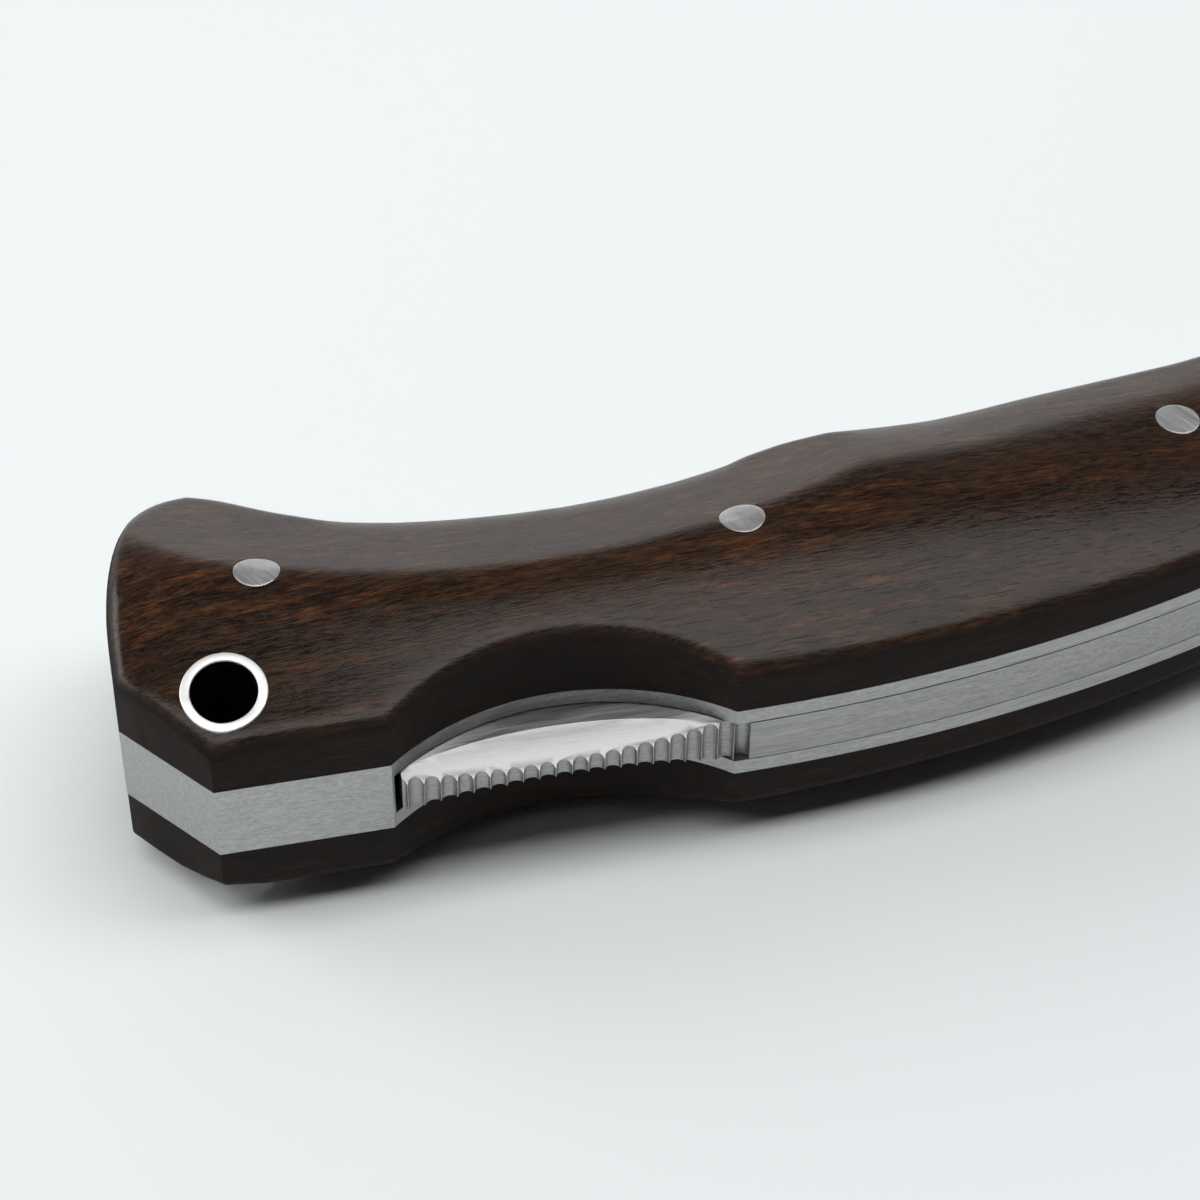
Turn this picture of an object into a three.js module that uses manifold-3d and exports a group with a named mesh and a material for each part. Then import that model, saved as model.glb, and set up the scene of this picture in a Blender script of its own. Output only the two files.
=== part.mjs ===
// Folding pocket knife with a back lock: a rocking lock bar along the back, worked by a fluted
// lever in a scalloped notch near the butt. It is drawn closed and lying on its side, in mm.
// While it is drawn, +X runs from the butt to the blade pivot, +Y from the back to the belly and
// +Z through the thickness, from the corner between the butt facet and the back, at mid thickness.
// At the end the whole group moves, so that its origin is the centre of the bottom of its box.
import * as THREE from "three";
import { mergeVertices } from "three/addons/utils/BufferGeometryUtils.js";
import Module from "manifold-3d";

const wasm = await Module();
wasm.setup();

// Handle outline, seen from above
const BUTT_LAND = 9.6; // straight back between the butt corner and the notch
const NOTCH_WIDTH = 19.2;
const NOTCH_RADIUS = 15;
const BACK_DROP = 11.3; // slope of the straight back, in degrees
const BACK_BOW_RADIUS = 102;
const BACK_RISE = 7; // slope where the bow ends, in degrees
const THUMB_HOLLOW_RADIUS = 110;
const PIVOT_X = 88;
const NOSE_RADIUS = 8.4;
const FACET_LENGTH = 7.1;
const FACET_ANGLE = 117.3; // direction of the butt facet from +X, in degrees
const BUTT_END = [
  [-2.0, 11.5],
  [-0.05, 16.1],
  [2.2, 19.2],
  [4.3, 20.5],
];
const FLARE_TIP = [5.9, 20.55];
const FINGER_GROOVE = [
  [7.3, 19.6],
  [10.5, 16.4],
  [14, 14.3],
  [19.3, 12.4],
  [26, 10.87],
  [33, 10.38],
  [38.3, 10.62],
];
const BELLY_BUMP = [
  [40.4, 10.25],
  [43.2, 9.5],
];
const BELLY_WAIST = [
  [47.5, 8.7],
  [54, 8.55],
  [60, 8.27],
  [66, 8.15],
];
const GUARD_BACK = 13; // the belly starts to swell this far behind the pivot
const GUARD_START_DROP = 1.3;
const GUARD_FULL_BACK = 4; // and is all but full this far behind it
const GUARD_FULL_DROP = 0.05;
const NOSE_TURN = 85; // the nose goes over into the guard here, in degrees

// Thickness of the stack
const CORE_THICKNESS = 3;
const LINER_THICKNESS = 1;
const SCALE_THICKNESS = 5.5;

// Carved crown of the scales
const BACK_WALL_BUTT = 3.5;
const BACK_WALL_MIDDLE = 2.8;
const BACK_WALL_FRONT = 2.1;
const BELLY_WALL_GROOVE = 2.5;
const BELLY_WALL_BUMP = 3.3;
const BELLY_WALL_MIDDLE = 2.7;
const BELLY_WALL_FRONT = 2.1;
const CROWN_FLAT = 0.08; // share of each side of the crown that stays flat
const BUTT_SOFTNESS = 0.2; // a smaller value gives a sharper ridge and straighter slopes
const MIDDLE_SOFTNESS = 0.35;
const FRONT_SOFTNESS = 1;
const FRONT_FALL = 1.5; // the crown sinks this much towards the nose
const FRONT_FALL_START = 40;
const FRONT_FALL_END = 66;
const CROWN_LANES = 6; // on each side of the ridge
const LANE_CROWDING = 1.3; // above 1 puts the lanes closer together near the ridge
const LEAST_HEIGHT = 0.2; // of the carved block, outside the handle
const BUTT_FALL = 0.95;
const BUTT_FALL_LENGTH = 6;
const BUTT_FALL_LEAN = 0.35; // sideways run of its far end across the handle
const CORNER_FALL = 0.9; // where the butt facet meets the back
const CORNER_FALL_REACH = 3.2;
const COVE_WHEEL_RADIUS = 130;
const COVE_WHEEL_SIDES = 300;
const COVE_TILT = 20; // degrees

// Pins, rivets and the lanyard tube
const LANYARD_CENTRE = [1.95, 3.05];
const LANYARD_OUTER_RADIUS = 2.38;
const LANYARD_BORE_RADIUS = 1.9;
const BUTT_PIN = [6.27, 9.84];
const MIDDLE_RIVET = [32.5, 3.25];
const FRONT_RIVET = [59.86, 1.91];
const RIVET_RADIUS = 1.3;
const PIVOT_PIN_RADIUS = 2;
const SEAT_GAP = 0.04; // round a pin or tube that is fixed in its hole
const RUNNING_GAP = 0.08; // round a pin that something turns on

// Lock bar and its lever
const BAR_LOWER_GAP = 0.05; // the bar leans on the lower liner
const BAR_UPPER_GAP = 0.09;
const LEVER_END_GAP = 0.4;
const SPACER_OVERHANG = 0.15; // the butt spacer ends this far past the start of the notch
const LEVER_REAR_RISE = 0.22;
const LEVER_FRONT_SINK = 0.12;
const LEVER_DEPTH = 5.4;
const STEP_PAST_NOTCH = 0.8;
const FLUTE_COUNT = 22;
const FLUTE_PITCH = 0.915;
const FLUTE_RADIUS = 0.44;
const FLUTE_DEPTH = 0.4;
const SCALLOP_RADIUS = 52;
const SCALLOP_CENTRE = 18.7;
const SCALLOP_WAIST = 0.32; // half the lever's width at its back, where it is narrowest
const SCALLOP_HEIGHT = 2.2; // depth at which the scallop runs out
const SCALLOP_WHEEL_WIDTH = 24;
const SCALLOP_WHEEL_SIDES = 160;
const BAR_DEPTH_MIDDLE = 4.4;
const BAR_DEPTH_FRONT = 2.8;
const BAR_THINNING = 0.5; // already lost a little in front of the lock pin
const LEVER_THINNING = 0.4; // lost between the rear of the lever and its front
const BAR_WAIST = 6; // the inside turns this far from the lock pin and from the stop pin
const LOCK_PIN_X = 50;
const LOCK_PIN_DEPTH = 3.4;
const LOCK_PIN_RADIUS = 1.25;
const LOCK_BOSS_RADIUS = 2.9;
const TOOTH_WIDTH = 2.4;
const TOOTH_FRONT = 1.2; // its front face lies this far behind the pivot
const TOOTH_GAP = 0.1;
const TOOTH_BITE = 1.3; // how far the tooth drops into the tang
const POCKET_GAP = 0.2;

// Lock spring
const SPRING_THICKNESS = 0.9;
const SPRING_ROOT_ALONG = 5.4;
const SPRING_ROOT_DEPTH = 8.3;
const SPRING_TIP_BACK = 6.5; // its tip lies this far behind the lock pin
const SPRING_TIP_GAP = 0.45;
const SPRING_TIP_ROOM = 0.35; // for the rear of the bar when the lever is pressed
const SPRING_PIN_RADIUS = 0.7;
const SPRING_EYE_WALL = 0.6;
const SPRING_SLOT_GAP = 0.15;

// Blade
const BLADE_THICKNESS = 2.6;
const CAM_RADIUS = 5.2;
const TIP_CLEARANCE = 3;
const SPINE_INSET = 0.1; // the spine stops this far inside the nose radius
const RICASSO_DROP = 2.05; // the kick lies this far below the pivot
const RICASSO_LENGTH = 11;
const EDGE_RISE = 0.25; // the edge is held this far off the kick
const PLUNGE_LENGTH = 1.6;
const PLUNGE_STEP = 0.4;
const RICASSO_LAP = 0.2; // the flat part runs this far into the ground part
// Spine and edge as shares of the blade's length and heights over the spine and edge at the pivot
const SPINE_SHAPE = [
  [0, 0],
  [0.35, 0.45],
  [0.6, 0.6],
  [0.78, 0.3],
  [0.91, -0.9],
  [1, -2.9],
];
const EDGE_SHAPE = [
  [0, 0],
  [0.52, 0],
  [0.68, 0.7],
  [0.82, 2.8],
  [0.925, 5.2],
];
const TIP_HEIGHT = 0.4;
const TAPER_START = 0.6; // share of the length at which the blade starts to thin to its tip
const EDGE_HALF_THICKNESS = 0.12;
const TIP_HALF_THICKNESS = 0.55;
const GRIND_SHARE = 0.72;
const NICK_RADIUS = 10;
const NICK_DEPTH = 0.5;
const NICK_WIDTH = 1;
const NICK_SLANT = 0.9; // fall of its far wall
const NICK_FROM_PIVOT = 31;
const NICK_BELOW_SPINE = 1.1;
const STOP_PIN_RADIUS = 1;
const STOP_PIN_BACK = 8.5;
const STOP_GAP = 0.1;
const WASHER_INSET = 0.3; // inside the floor of the lock notch
const WASHER_THICKNESS = 0.15;

const CORE_HALF = CORE_THICKNESS / 2;
const LINER_TOP = CORE_HALF + LINER_THICKNESS;
const CROWN_TOP = LINER_TOP + SCALE_THICKNESS;
const BACK_STRAIGHT = BUTT_LAND + NOTCH_WIDTH;
const CROWN_MARGIN = 0.2; // the carved block is this share wider than the handle
const TUBE_SIDES = 36;
const SMALL_SIDES = 16; // for round pieces that stay out of sight
const LONG_STEP = 2;
const SHORT_STEP = 1;
const BELLY_STEP = 1.5;
const CROWN_STEP = 3.2; // between the crown's sections along the middle of the handle
const ROD_SIDES = 24;
const FLUTE_SIDES = 16;
const LARGE_SIDES = 96;
const REACH = 60; // longer than anything that a cut has to pass through
const CORE_OVERLAP = 0.1; // by which forms that are joined run into each other

const radians = THREE.MathUtils.degToRad;
const point = (pair) => new THREE.Vector2(...pair);

// A place given by its distance along the straight back and inward from it.
function onBack(along, inward) {
  const slope = radians(-BACK_DROP);
  const x = along * Math.cos(slope) - inward * Math.sin(slope);
  const y = along * Math.sin(slope) + inward * Math.cos(slope);
  return new THREE.Vector2(x, y);
}

// The points of a chain of curves, evenly spaced along each, without the last one.
function sampled(curves, step = LONG_STEP) {
  return curves.flatMap((curve) => {
    const count = Math.max(1, Math.ceil(curve.getLength() / step));
    return curve.getSpacedPoints(count).slice(0, -1);
  });
}

function arc(centre, radius, from, to, clockwise = false) {
  return new THREE.EllipseCurve(
    centre.x,
    centre.y,
    radius,
    radius,
    radians(from),
    radians(to),
    clockwise,
  );
}

// The back: a straight, a long bow outwards, a shallow thumb hollow and a level run to the nose.
function backCurves() {
  const bowStart = onBack(BACK_STRAIGHT, 0);
  const bowCentre = onBack(BACK_STRAIGHT, BACK_BOW_RADIUS);
  const bow = arc(bowCentre, BACK_BOW_RADIUS, -90 - BACK_DROP, -90 + BACK_RISE);
  const bowEnd = bow.getPoint(1);
  const rise = radians(BACK_RISE);
  const hollowCentre = new THREE.Vector2(
    bowEnd.x + THUMB_HOLLOW_RADIUS * Math.sin(rise),
    bowEnd.y - THUMB_HOLLOW_RADIUS * Math.cos(rise),
  );
  const hollow = arc(hollowCentre, THUMB_HOLLOW_RADIUS, 90 + BACK_RISE, 90, true);
  const hollowEnd = hollow.getPoint(1);
  const frontEnd = new THREE.Vector2(PIVOT_X, hollowEnd.y);
  return [
    new THREE.LineCurve(onBack(0, 0), bowStart),
    bow,
    hollow,
    new THREE.LineCurve(hollowEnd, frontEnd),
  ];
}

const backParts = backCurves();
const FRONT_BACK_Y = backParts.at(-1).getPoint(1).y;
const PIVOT = new THREE.Vector2(PIVOT_X, FRONT_BACK_Y + NOSE_RADIUS);

const nose = arc(PIVOT, NOSE_RADIUS, -90, NOSE_TURN);
const facetEnd = new THREE.Vector2(
  FACET_LENGTH * Math.cos(radians(FACET_ANGLE)),
  FACET_LENGTH * Math.sin(radians(FACET_ANGLE)),
);

// The belly, from the nose round to the butt facet: guard swell, waist, bump, finger groove,
// flare and the round of the butt.
function bellyCurve() {
  const guard = PIVOT.y + NOSE_RADIUS;
  return new THREE.SplineCurve([
    nose.getPoint(1),
    new THREE.Vector2(PIVOT.x - GUARD_FULL_BACK, guard - GUARD_FULL_DROP),
    new THREE.Vector2(PIVOT.x - GUARD_BACK, guard - GUARD_START_DROP),
    ...BELLY_WAIST.toReversed().map(point),
    ...BELLY_BUMP.toReversed().map(point),
    ...FINGER_GROOVE.toReversed().map(point),
    point(FLARE_TIP),
    ...BUTT_END.toReversed().map(point),
    facetEnd,
  ]);
}

const bellyPoints = sampled([bellyCurve()], BELLY_STEP);
const outline = [
  ...sampled(backParts),
  ...sampled([nose], SHORT_STEP),
  ...bellyPoints,
  facetEnd,
];

// A function of x that follows a row of points, and goes on straight beyond both ends.
function lineAlong(points) {
  const row = [...points].sort((a, b) => a.x - b.x);
  return (x) => {
    const after = row.findIndex((p) => p.x > x);
    const right = after < 0 ? row.length - 1 : Math.max(1, after);
    const a = row[right - 1];
    const b = row[right];
    return a.y + ((b.y - a.y) * (x - a.x)) / (b.x - a.x);
  };
}

// A smooth function of x through a few points.
function smoothAlong(pairs) {
  return lineAlong(new THREE.SplineCurve(pairs.map(point)).getPoints(pairs.length * 8));
}

const backLine = lineAlong(sampled(backParts));
const bellyLine = lineAlong(bellyPoints.filter((p) => p.x > FLARE_TIP[0]));

// Solids
function solid(geometry) {
  const bare = geometry.clone();
  bare.deleteAttribute("normal");
  bare.deleteAttribute("uv");
  const merged = mergeVertices(bare, 1e-5);
  const mesh = new wasm.Mesh({
    numProp: 3,
    vertProperties: new Float32Array(merged.attributes.position.array),
    triVerts: new Uint32Array(merged.index.array),
  });
  return new wasm.Manifold(mesh);
}

function geometryOf(manifold) {
  const mesh = manifold.getMesh();
  const geometry = new THREE.BufferGeometry();
  geometry.setAttribute("position", new THREE.BufferAttribute(mesh.vertProperties, 3));
  geometry.setIndex(new THREE.BufferAttribute(mesh.triVerts, 1));
  return geometry;
}

function joined(first, ...others) {
  return others.reduce((sum, next) => sum.add(next), first);
}

function cut(body, ...tools) {
  return tools.reduce((rest, tool) => rest.subtract(tool), body);
}

function plate(points, bottom, top) {
  const options = { depth: top - bottom, bevelEnabled: false };
  const geometry = new THREE.ExtrudeGeometry(new THREE.Shape(points), options);
  return solid(geometry.translate(0, 0, bottom));
}

function rod(centre, radius, bottom, top, sides = ROD_SIDES) {
  const geometry = new THREE.CylinderGeometry(radius, radius, top - bottom, sides);
  geometry.rotateX(Math.PI / 2);
  return solid(geometry.translate(centre.x, centre.y, (top + bottom) / 2));
}

const hole = (centre, radius, sides) => rod(centre, radius, -REACH, REACH, sides);

function block(low, high) {
  const size = high.map((value, i) => value - low[i]);
  const geometry = new THREE.BoxGeometry(...size);
  return solid(geometry.translate(...low.map((value, i) => value + size[i] / 2)));
}

// The same geometry on the other side of the mid plane, with its faces still pointing out.
function mirrored(geometry) {
  const copy = geometry.clone().scale(1, 1, -1);
  const index = copy.index.array;
  for (let i = 0; i < index.length; i += 3) {
    [index[i + 1], index[i + 2]] = [index[i + 2], index[i + 1]];
  }
  return copy;
}

const notchCentre = onBack(
  BUTT_LAND + NOTCH_WIDTH / 2,
  -Math.sqrt(NOTCH_RADIUS ** 2 - (NOTCH_WIDTH / 2) ** 2),
);
const notch = hole(notchCentre, NOTCH_RADIUS, LARGE_SIDES);

// Crown: height of a scale above its liner, before the cove is ground into it.
const ridgeShare = smoothAlong([
  [BUTT_PIN[0], 0.515],
  [MIDDLE_RIVET[0], 0.56],
  [FRONT_RIVET[0], 0.59],
  [PIVOT_X, 0.5],
]);
const softness = smoothAlong([
  [BUTT_PIN[0], BUTT_SOFTNESS],
  [MIDDLE_RIVET[0], MIDDLE_SOFTNESS],
  [FRONT_RIVET[0], FRONT_SOFTNESS],
  [PIVOT_X, FRONT_SOFTNESS],
]);
const backWall = smoothAlong([
  [0, BACK_WALL_BUTT],
  [BACK_STRAIGHT, BACK_WALL_MIDDLE],
  [FRONT_RIVET[0], BACK_WALL_FRONT],
  [PIVOT_X, BACK_WALL_FRONT],
]);
const bellyWall = smoothAlong([
  [0, BELLY_WALL_GROOVE],
  [MIDDLE_RIVET[0], BELLY_WALL_GROOVE],
  [BELLY_BUMP[0][0], BELLY_WALL_BUMP],
  [FRONT_RIVET[0], BELLY_WALL_MIDDLE],
  [PIVOT_X, BELLY_WALL_FRONT],
]);

function crownSection(x) {
  if (x >= PIVOT.x) return { ridge: PIVOT.y, toBack: NOSE_RADIUS, toBelly: NOSE_RADIUS };
  const back = backLine(x);
  const belly = bellyLine(x);
  const ridge = back + (belly - back) * ridgeShare(x);
  return { ridge, toBack: ridge - back, toBelly: belly - ridge };
}

function crownHeight(x, y) {
  const { ridge, toBack, toBelly } = crownSection(x);
  const reach = y < ridge ? toBack : toBelly;
  const along = Math.min(x, PIVOT.x);
  const wall = y < ridge ? backWall(along) : bellyWall(along);
  const soft = softness(Math.max(along, BUTT_PIN[0]));
  const frontFall = FRONT_FALL * THREE.MathUtils.smoothstep(x, FRONT_FALL_START, FRONT_FALL_END);
  const top = SCALE_THICKNESS - frontFall;
  const share = Math.hypot(Math.max(0, x - PIVOT.x), y - ridge) / reach;
  const across = Math.max(0, (share - CROWN_FLAT) / (1 - CROWN_FLAT));
  const slope = (Math.hypot(across, soft) - soft) / (Math.hypot(1, soft) - soft);
  const buttLine = onBack(0, 0).x + (y - FACET_LENGTH) * BUTT_FALL_LEAN - FACET_LENGTH / 2;
  const fromButt = Math.min(1, Math.max(0, (x - buttLine) / BUTT_FALL_LENGTH));
  const buttFall = BUTT_FALL * (1 - fromButt) ** 2;
  const corner = onBack(0, 0);
  const fromCorner = Math.min(1, Math.hypot(x - corner.x, y - corner.y) / CORNER_FALL_REACH);
  const cornerFall = CORNER_FALL * (1 - fromCorner) ** 2;
  return Math.max(LEAST_HEIGHT, top - (top - wall) * slope - buttFall - cornerFall);
}

// Where the lanes of the crown run, as shares of the way from the ridge to either edge.
function laneShares() {
  const side = Array.from({ length: CROWN_LANES + 1 }, (_, k) =>
    THREE.MathUtils.lerp(CROWN_FLAT, 1, (k / CROWN_LANES) ** LANE_CROWDING),
  );
  side.push(1 + CROWN_MARGIN);
  return [...side.map((share) => -share).reverse(), ...side];
}

// Values from the first to the last, about one step apart, without the last one.
function spread(first, last, step) {
  const count = Math.ceil((last - first) / step);
  return Array.from({ length: count }, (_, i) => first + ((last - first) * i) / count);
}

// A block with the crown on top, laid out along the ridge and wider than the handle.
function crownBlock() {
  const buttEnd = facetEnd.x - SCALE_THICKNESS / 2;
  const noseEnd = PIVOT.x + NOSE_RADIUS * (1 + CROWN_MARGIN);
  const alongRidge = [
    ...spread(buttEnd, BUTT_PIN[0], BELLY_STEP),
    ...spread(BUTT_PIN[0], PIVOT.x, CROWN_STEP),
    ...spread(PIVOT.x, noseEnd, BELLY_STEP),
    noseEnd,
  ];
  const shares = laneShares();
  const stations = alongRidge.length - 1;
  const lanes = shares.length - 1;
  const positions = [];
  const index = [];
  for (const x of alongRidge) {
    const { ridge, toBack, toBelly } = crownSection(x);
    for (const share of shares) {
      const y = ridge + share * (share < 0 ? toBack : toBelly);
      positions.push(x, y, LINER_TOP + crownHeight(x, y));
      positions.push(x, y, LINER_TOP);
    }
  }
  const top = (i, j) => 2 * (i * (lanes + 1) + j);
  const bottom = (i, j) => top(i, j) + 1;
  const quad = (a, b, c, d) => index.push(a, b, c, a, c, d);
  for (let i = 0; i < stations; i++) {
    for (let j = 0; j < lanes; j++) {
      quad(top(i, j), top(i + 1, j), top(i + 1, j + 1), top(i, j + 1));
      quad(bottom(i, j), bottom(i, j + 1), bottom(i + 1, j + 1), bottom(i + 1, j));
    }
    quad(bottom(i, 0), bottom(i + 1, 0), top(i + 1, 0), top(i, 0));
    quad(bottom(i + 1, lanes), bottom(i, lanes), top(i, lanes), top(i + 1, lanes));
  }
  for (let j = 0; j < lanes; j++) {
    quad(bottom(0, j + 1), bottom(0, j), top(0, j), top(0, j + 1));
    quad(bottom(stations, j), bottom(stations, j + 1), top(stations, j + 1), top(stations, j));
  }
  const geometry = new THREE.BufferGeometry();
  geometry.setAttribute("position", new THREE.Float32BufferAttribute(positions, 3));
  geometry.setIndex(index);
  return solid(geometry);
}

// The large wheel that grinds the cove, tilted to the belly side. It just meets the crown at the
// butt pin and the middle rivet.
function coveWheel() {
  const from = point(BUTT_PIN);
  const to = point(MIDDLE_RIVET);
  const along = to.clone().sub(from);
  const sag = (along.length() / 2) ** 2 / (2 * COVE_WHEEL_RADIUS);
  const middle = from.clone().add(to).multiplyScalar(0.5);
  const tilt = radians(COVE_TILT);
  const outward = new THREE.Vector2(-along.y, along.x).normalize();
  const axis = new THREE.Vector3(
    outward.x * Math.cos(tilt),
    outward.y * Math.cos(tilt),
    -Math.sin(tilt),
  );
  const lift = new THREE.Vector3(
    outward.x * Math.sin(tilt),
    outward.y * Math.sin(tilt),
    Math.cos(tilt),
  );
  const touch = new THREE.Vector3(middle.x, middle.y, CROWN_TOP - sag);
  const centre = touch.addScaledVector(lift, COVE_WHEEL_RADIUS);
  const geometry = new THREE.CylinderGeometry(
    COVE_WHEEL_RADIUS,
    COVE_WHEEL_RADIUS,
    REACH,
    COVE_WHEEL_SIDES,
  );
  const turn = new THREE.Quaternion().setFromUnitVectors(new THREE.Vector3(0, 1, 0), axis);
  geometry.applyQuaternion(turn);
  return solid(geometry.translate(centre.x, centre.y, centre.z));
}

const carved = crownBlock()
  .intersect(plate(outline, LINER_TOP, CROWN_TOP + 1))
  .subtract(coveWheel());
const carvedBelow = solid(mirrored(geometryOf(carved)));

// The whole handle in one, for the pieces that are worked flush with it.
const core = plate(outline, -LINER_TOP - CORE_OVERLAP, LINER_TOP + CORE_OVERLAP);
const handleForm = joined(core, carved, carvedBelow);

// A round piece through the whole handle, its ends worked flush with both crowns.
function flushThrough(centre, radius, sides) {
  return handleForm.intersect(hole(centre, radius, sides));
}

// A pin that ends in the liners and is hidden by the scales.
function pinBetween(centre, radius, sides) {
  return rod(centre, radius, -LINER_TOP, LINER_TOP, sides);
}

// A rivet that holds one scale to its liner, flush with the crown and with the liner's inside.
function blindRivet(centre) {
  return handleForm.intersect(rod(centre, RIVET_RADIUS, CORE_HALF, REACH));
}

const lockPin = new THREE.Vector2(LOCK_PIN_X, backLine(LOCK_PIN_X) + LOCK_PIN_DEPTH);
const kickY = PIVOT.y - RICASSO_DROP;
const stopPin = new THREE.Vector2(
  PIVOT.x - STOP_PIN_BACK,
  kickY - STOP_GAP - STOP_PIN_RADIUS,
);
const springPin = onBack(SPRING_ROOT_ALONG + 1, SPRING_ROOT_DEPTH);
const lanyard = point(LANYARD_CENTRE);

const liftedHoles = [
  [lanyard, LANYARD_OUTER_RADIUS + SEAT_GAP, TUBE_SIDES],
  [point(BUTT_PIN), RIVET_RADIUS + SEAT_GAP],
  [PIVOT, PIVOT_PIN_RADIUS + SEAT_GAP],
];
const scaleHoles = [
  ...liftedHoles,
  [point(MIDDLE_RIVET), RIVET_RADIUS + SEAT_GAP],
  [point(FRONT_RIVET), RIVET_RADIUS + SEAT_GAP],
];
const linerHoles = [
  ...scaleHoles,
  [lockPin, LOCK_PIN_RADIUS + SEAT_GAP],
  [stopPin, STOP_PIN_RADIUS + SEAT_GAP, SMALL_SIDES],
  [springPin, SPRING_PIN_RADIUS + SEAT_GAP, SMALL_SIDES],
];
const drilled = (body, holes) => cut(body, ...holes.map((place) => hole(...place)));

function scale() {
  return drilled(carved.subtract(notch), scaleHoles);
}

function liner() {
  return drilled(plate(outline, CORE_HALF, LINER_TOP).subtract(notch), linerHoles);
}

// A strip of even thickness along a curve.
function strip(curve, thickness, bottom, top) {
  const shares = [...spread(0, 1, LONG_STEP / curve.getLength()), 1];
  const sides = [1, -1].map((side) =>
    shares.map((share) => {
      const tangent = curve.getTangent(share);
      const normal = new THREE.Vector2(-tangent.y, tangent.x);
      return curve.getPoint(share).addScaledVector(normal, (side * thickness) / 2);
    }),
  );
  return plate([...sides[1], ...sides[0].reverse()], bottom, top);
}

const barBottom = BAR_LOWER_GAP - CORE_HALF;
const barTop = CORE_HALF - BAR_UPPER_GAP;
const leverStart = BUTT_LAND + SPACER_OVERHANG + LEVER_END_GAP;
const leverEnd = BACK_STRAIGHT + STEP_PAST_NOTCH;

// A place on the back of the lever, which stands out at its rear end and lies low at the step.
function onLever(along, inward = 0) {
  const share = (along - leverStart) / (leverEnd - leverStart);
  return onBack(along, inward + THREE.MathUtils.lerp(-LEVER_REAR_RISE, LEVER_FRONT_SINK, share));
}

const springRoot = onBack(SPRING_ROOT_ALONG, SPRING_ROOT_DEPTH);
const springTipX = LOCK_PIN_X - SPRING_TIP_BACK;
const springTipDepth = BAR_DEPTH_MIDDLE + SPRING_TIP_GAP + SPRING_THICKNESS / 2;
const springTip = new THREE.Vector2(
  springTipX,
  backLine(springTipX) + springTipDepth + SPRING_TIP_ROOM,
);
const springMiddle = springRoot.clone().add(springTip).multiplyScalar(0.5);
const springCurve = new THREE.QuadraticBezierCurve(springRoot, springMiddle, springTip);

function lockSpring() {
  const leaf = strip(springCurve, SPRING_THICKNESS, barBottom, barTop);
  const eye = rod(springPin, SPRING_PIN_RADIUS + SPRING_EYE_WALL, barBottom, barTop);
  return leaf.add(eye).subtract(hole(springPin, SPRING_PIN_RADIUS + SEAT_GAP, SMALL_SIDES));
}

// The solid butt between the liners, slotted for the root of the spring.
function buttSpacer() {
  const frontFace = BUTT_LAND + SPACER_OVERHANG;
  const reach = [
    onBack(-REACH, -REACH),
    onBack(frontFace, -REACH),
    onBack(frontFace, REACH),
    onBack(-REACH, REACH),
  ];
  const body = plate(outline, -CORE_HALF, CORE_HALF).intersect(plate(reach, -REACH, REACH));
  const slot = strip(springCurve, SPRING_THICKNESS + 2 * SPRING_SLOT_GAP, -REACH, REACH);
  const eyeRoom = hole(springPin, SPRING_PIN_RADIUS + SPRING_EYE_WALL + SPRING_SLOT_GAP);
  return drilled(cut(body, notch, slot, eyeRoom), liftedHoles.slice(0, 2));
}

// The outline of the lock bar without its tooth: the back of the handle outside, and inside a
// line that is deepest under the lever and thins towards the nose.
function barPoints() {
  const front = PIVOT.x - TOOTH_FRONT;
  const waistX = LOCK_PIN_X + BAR_WAIST;
  const alongBack = [...spread(onBack(leverEnd, 0).x, front, BELLY_STEP), front];
  const outside = alongBack.map((x) => new THREE.Vector2(x, backLine(x)));
  const inside = new THREE.SplineCurve([
    new THREE.Vector2(front, FRONT_BACK_Y + BAR_DEPTH_FRONT),
    new THREE.Vector2(PIVOT.x - STOP_PIN_BACK - BAR_WAIST, FRONT_BACK_Y + BAR_DEPTH_FRONT),
    new THREE.Vector2(waistX, backLine(waistX) + BAR_DEPTH_MIDDLE - BAR_THINNING),
    new THREE.Vector2(springTipX, backLine(springTipX) + BAR_DEPTH_MIDDLE),
    onBack(BACK_STRAIGHT, LEVER_DEPTH - LEVER_THINNING),
    onBack(leverStart, LEVER_DEPTH),
  ]).getPoints(24);
  return [onLever(leverStart), onLever(leverEnd), ...outside, ...inside];
}

function toothBlock(sideGap) {
  const front = PIVOT.x - TOOTH_FRONT + sideGap;
  const rear = front - TOOTH_WIDTH - 2 * sideGap;
  return block([rear, FRONT_BACK_Y, -REACH], [front, PIVOT.y, REACH]);
}

// The round-bottomed flutes filed across the lever.
function flutes() {
  const last = leverEnd - FLUTE_RADIUS;
  return Array.from({ length: FLUTE_COUNT }, (_, i) =>
    hole(onLever(last - i * FLUTE_PITCH, FLUTE_DEPTH - FLUTE_RADIUS), FLUTE_RADIUS, FLUTE_SIDES),
  );
}

// One side scallop of the lever: a wheel leaning so that its cut runs out at SCALLOP_HEIGHT.
function scallop(side) {
  const lean = Math.atan2(barTop - SCALLOP_WAIST, SCALLOP_HEIGHT);
  const geometry = new THREE.CylinderGeometry(
    SCALLOP_RADIUS,
    SCALLOP_RADIUS,
    SCALLOP_WHEEL_WIDTH,
    SCALLOP_WHEEL_SIDES,
  );
  geometry.translate(0, 0, SCALLOP_RADIUS * side);
  geometry.rotateX(lean * side);
  geometry.translate(0, 0, SCALLOP_WAIST * side);
  geometry.rotateZ(radians(-BACK_DROP));
  const place = onLever(SCALLOP_CENTRE);
  return solid(geometry.translate(place.x, place.y, 0));
}

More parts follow.
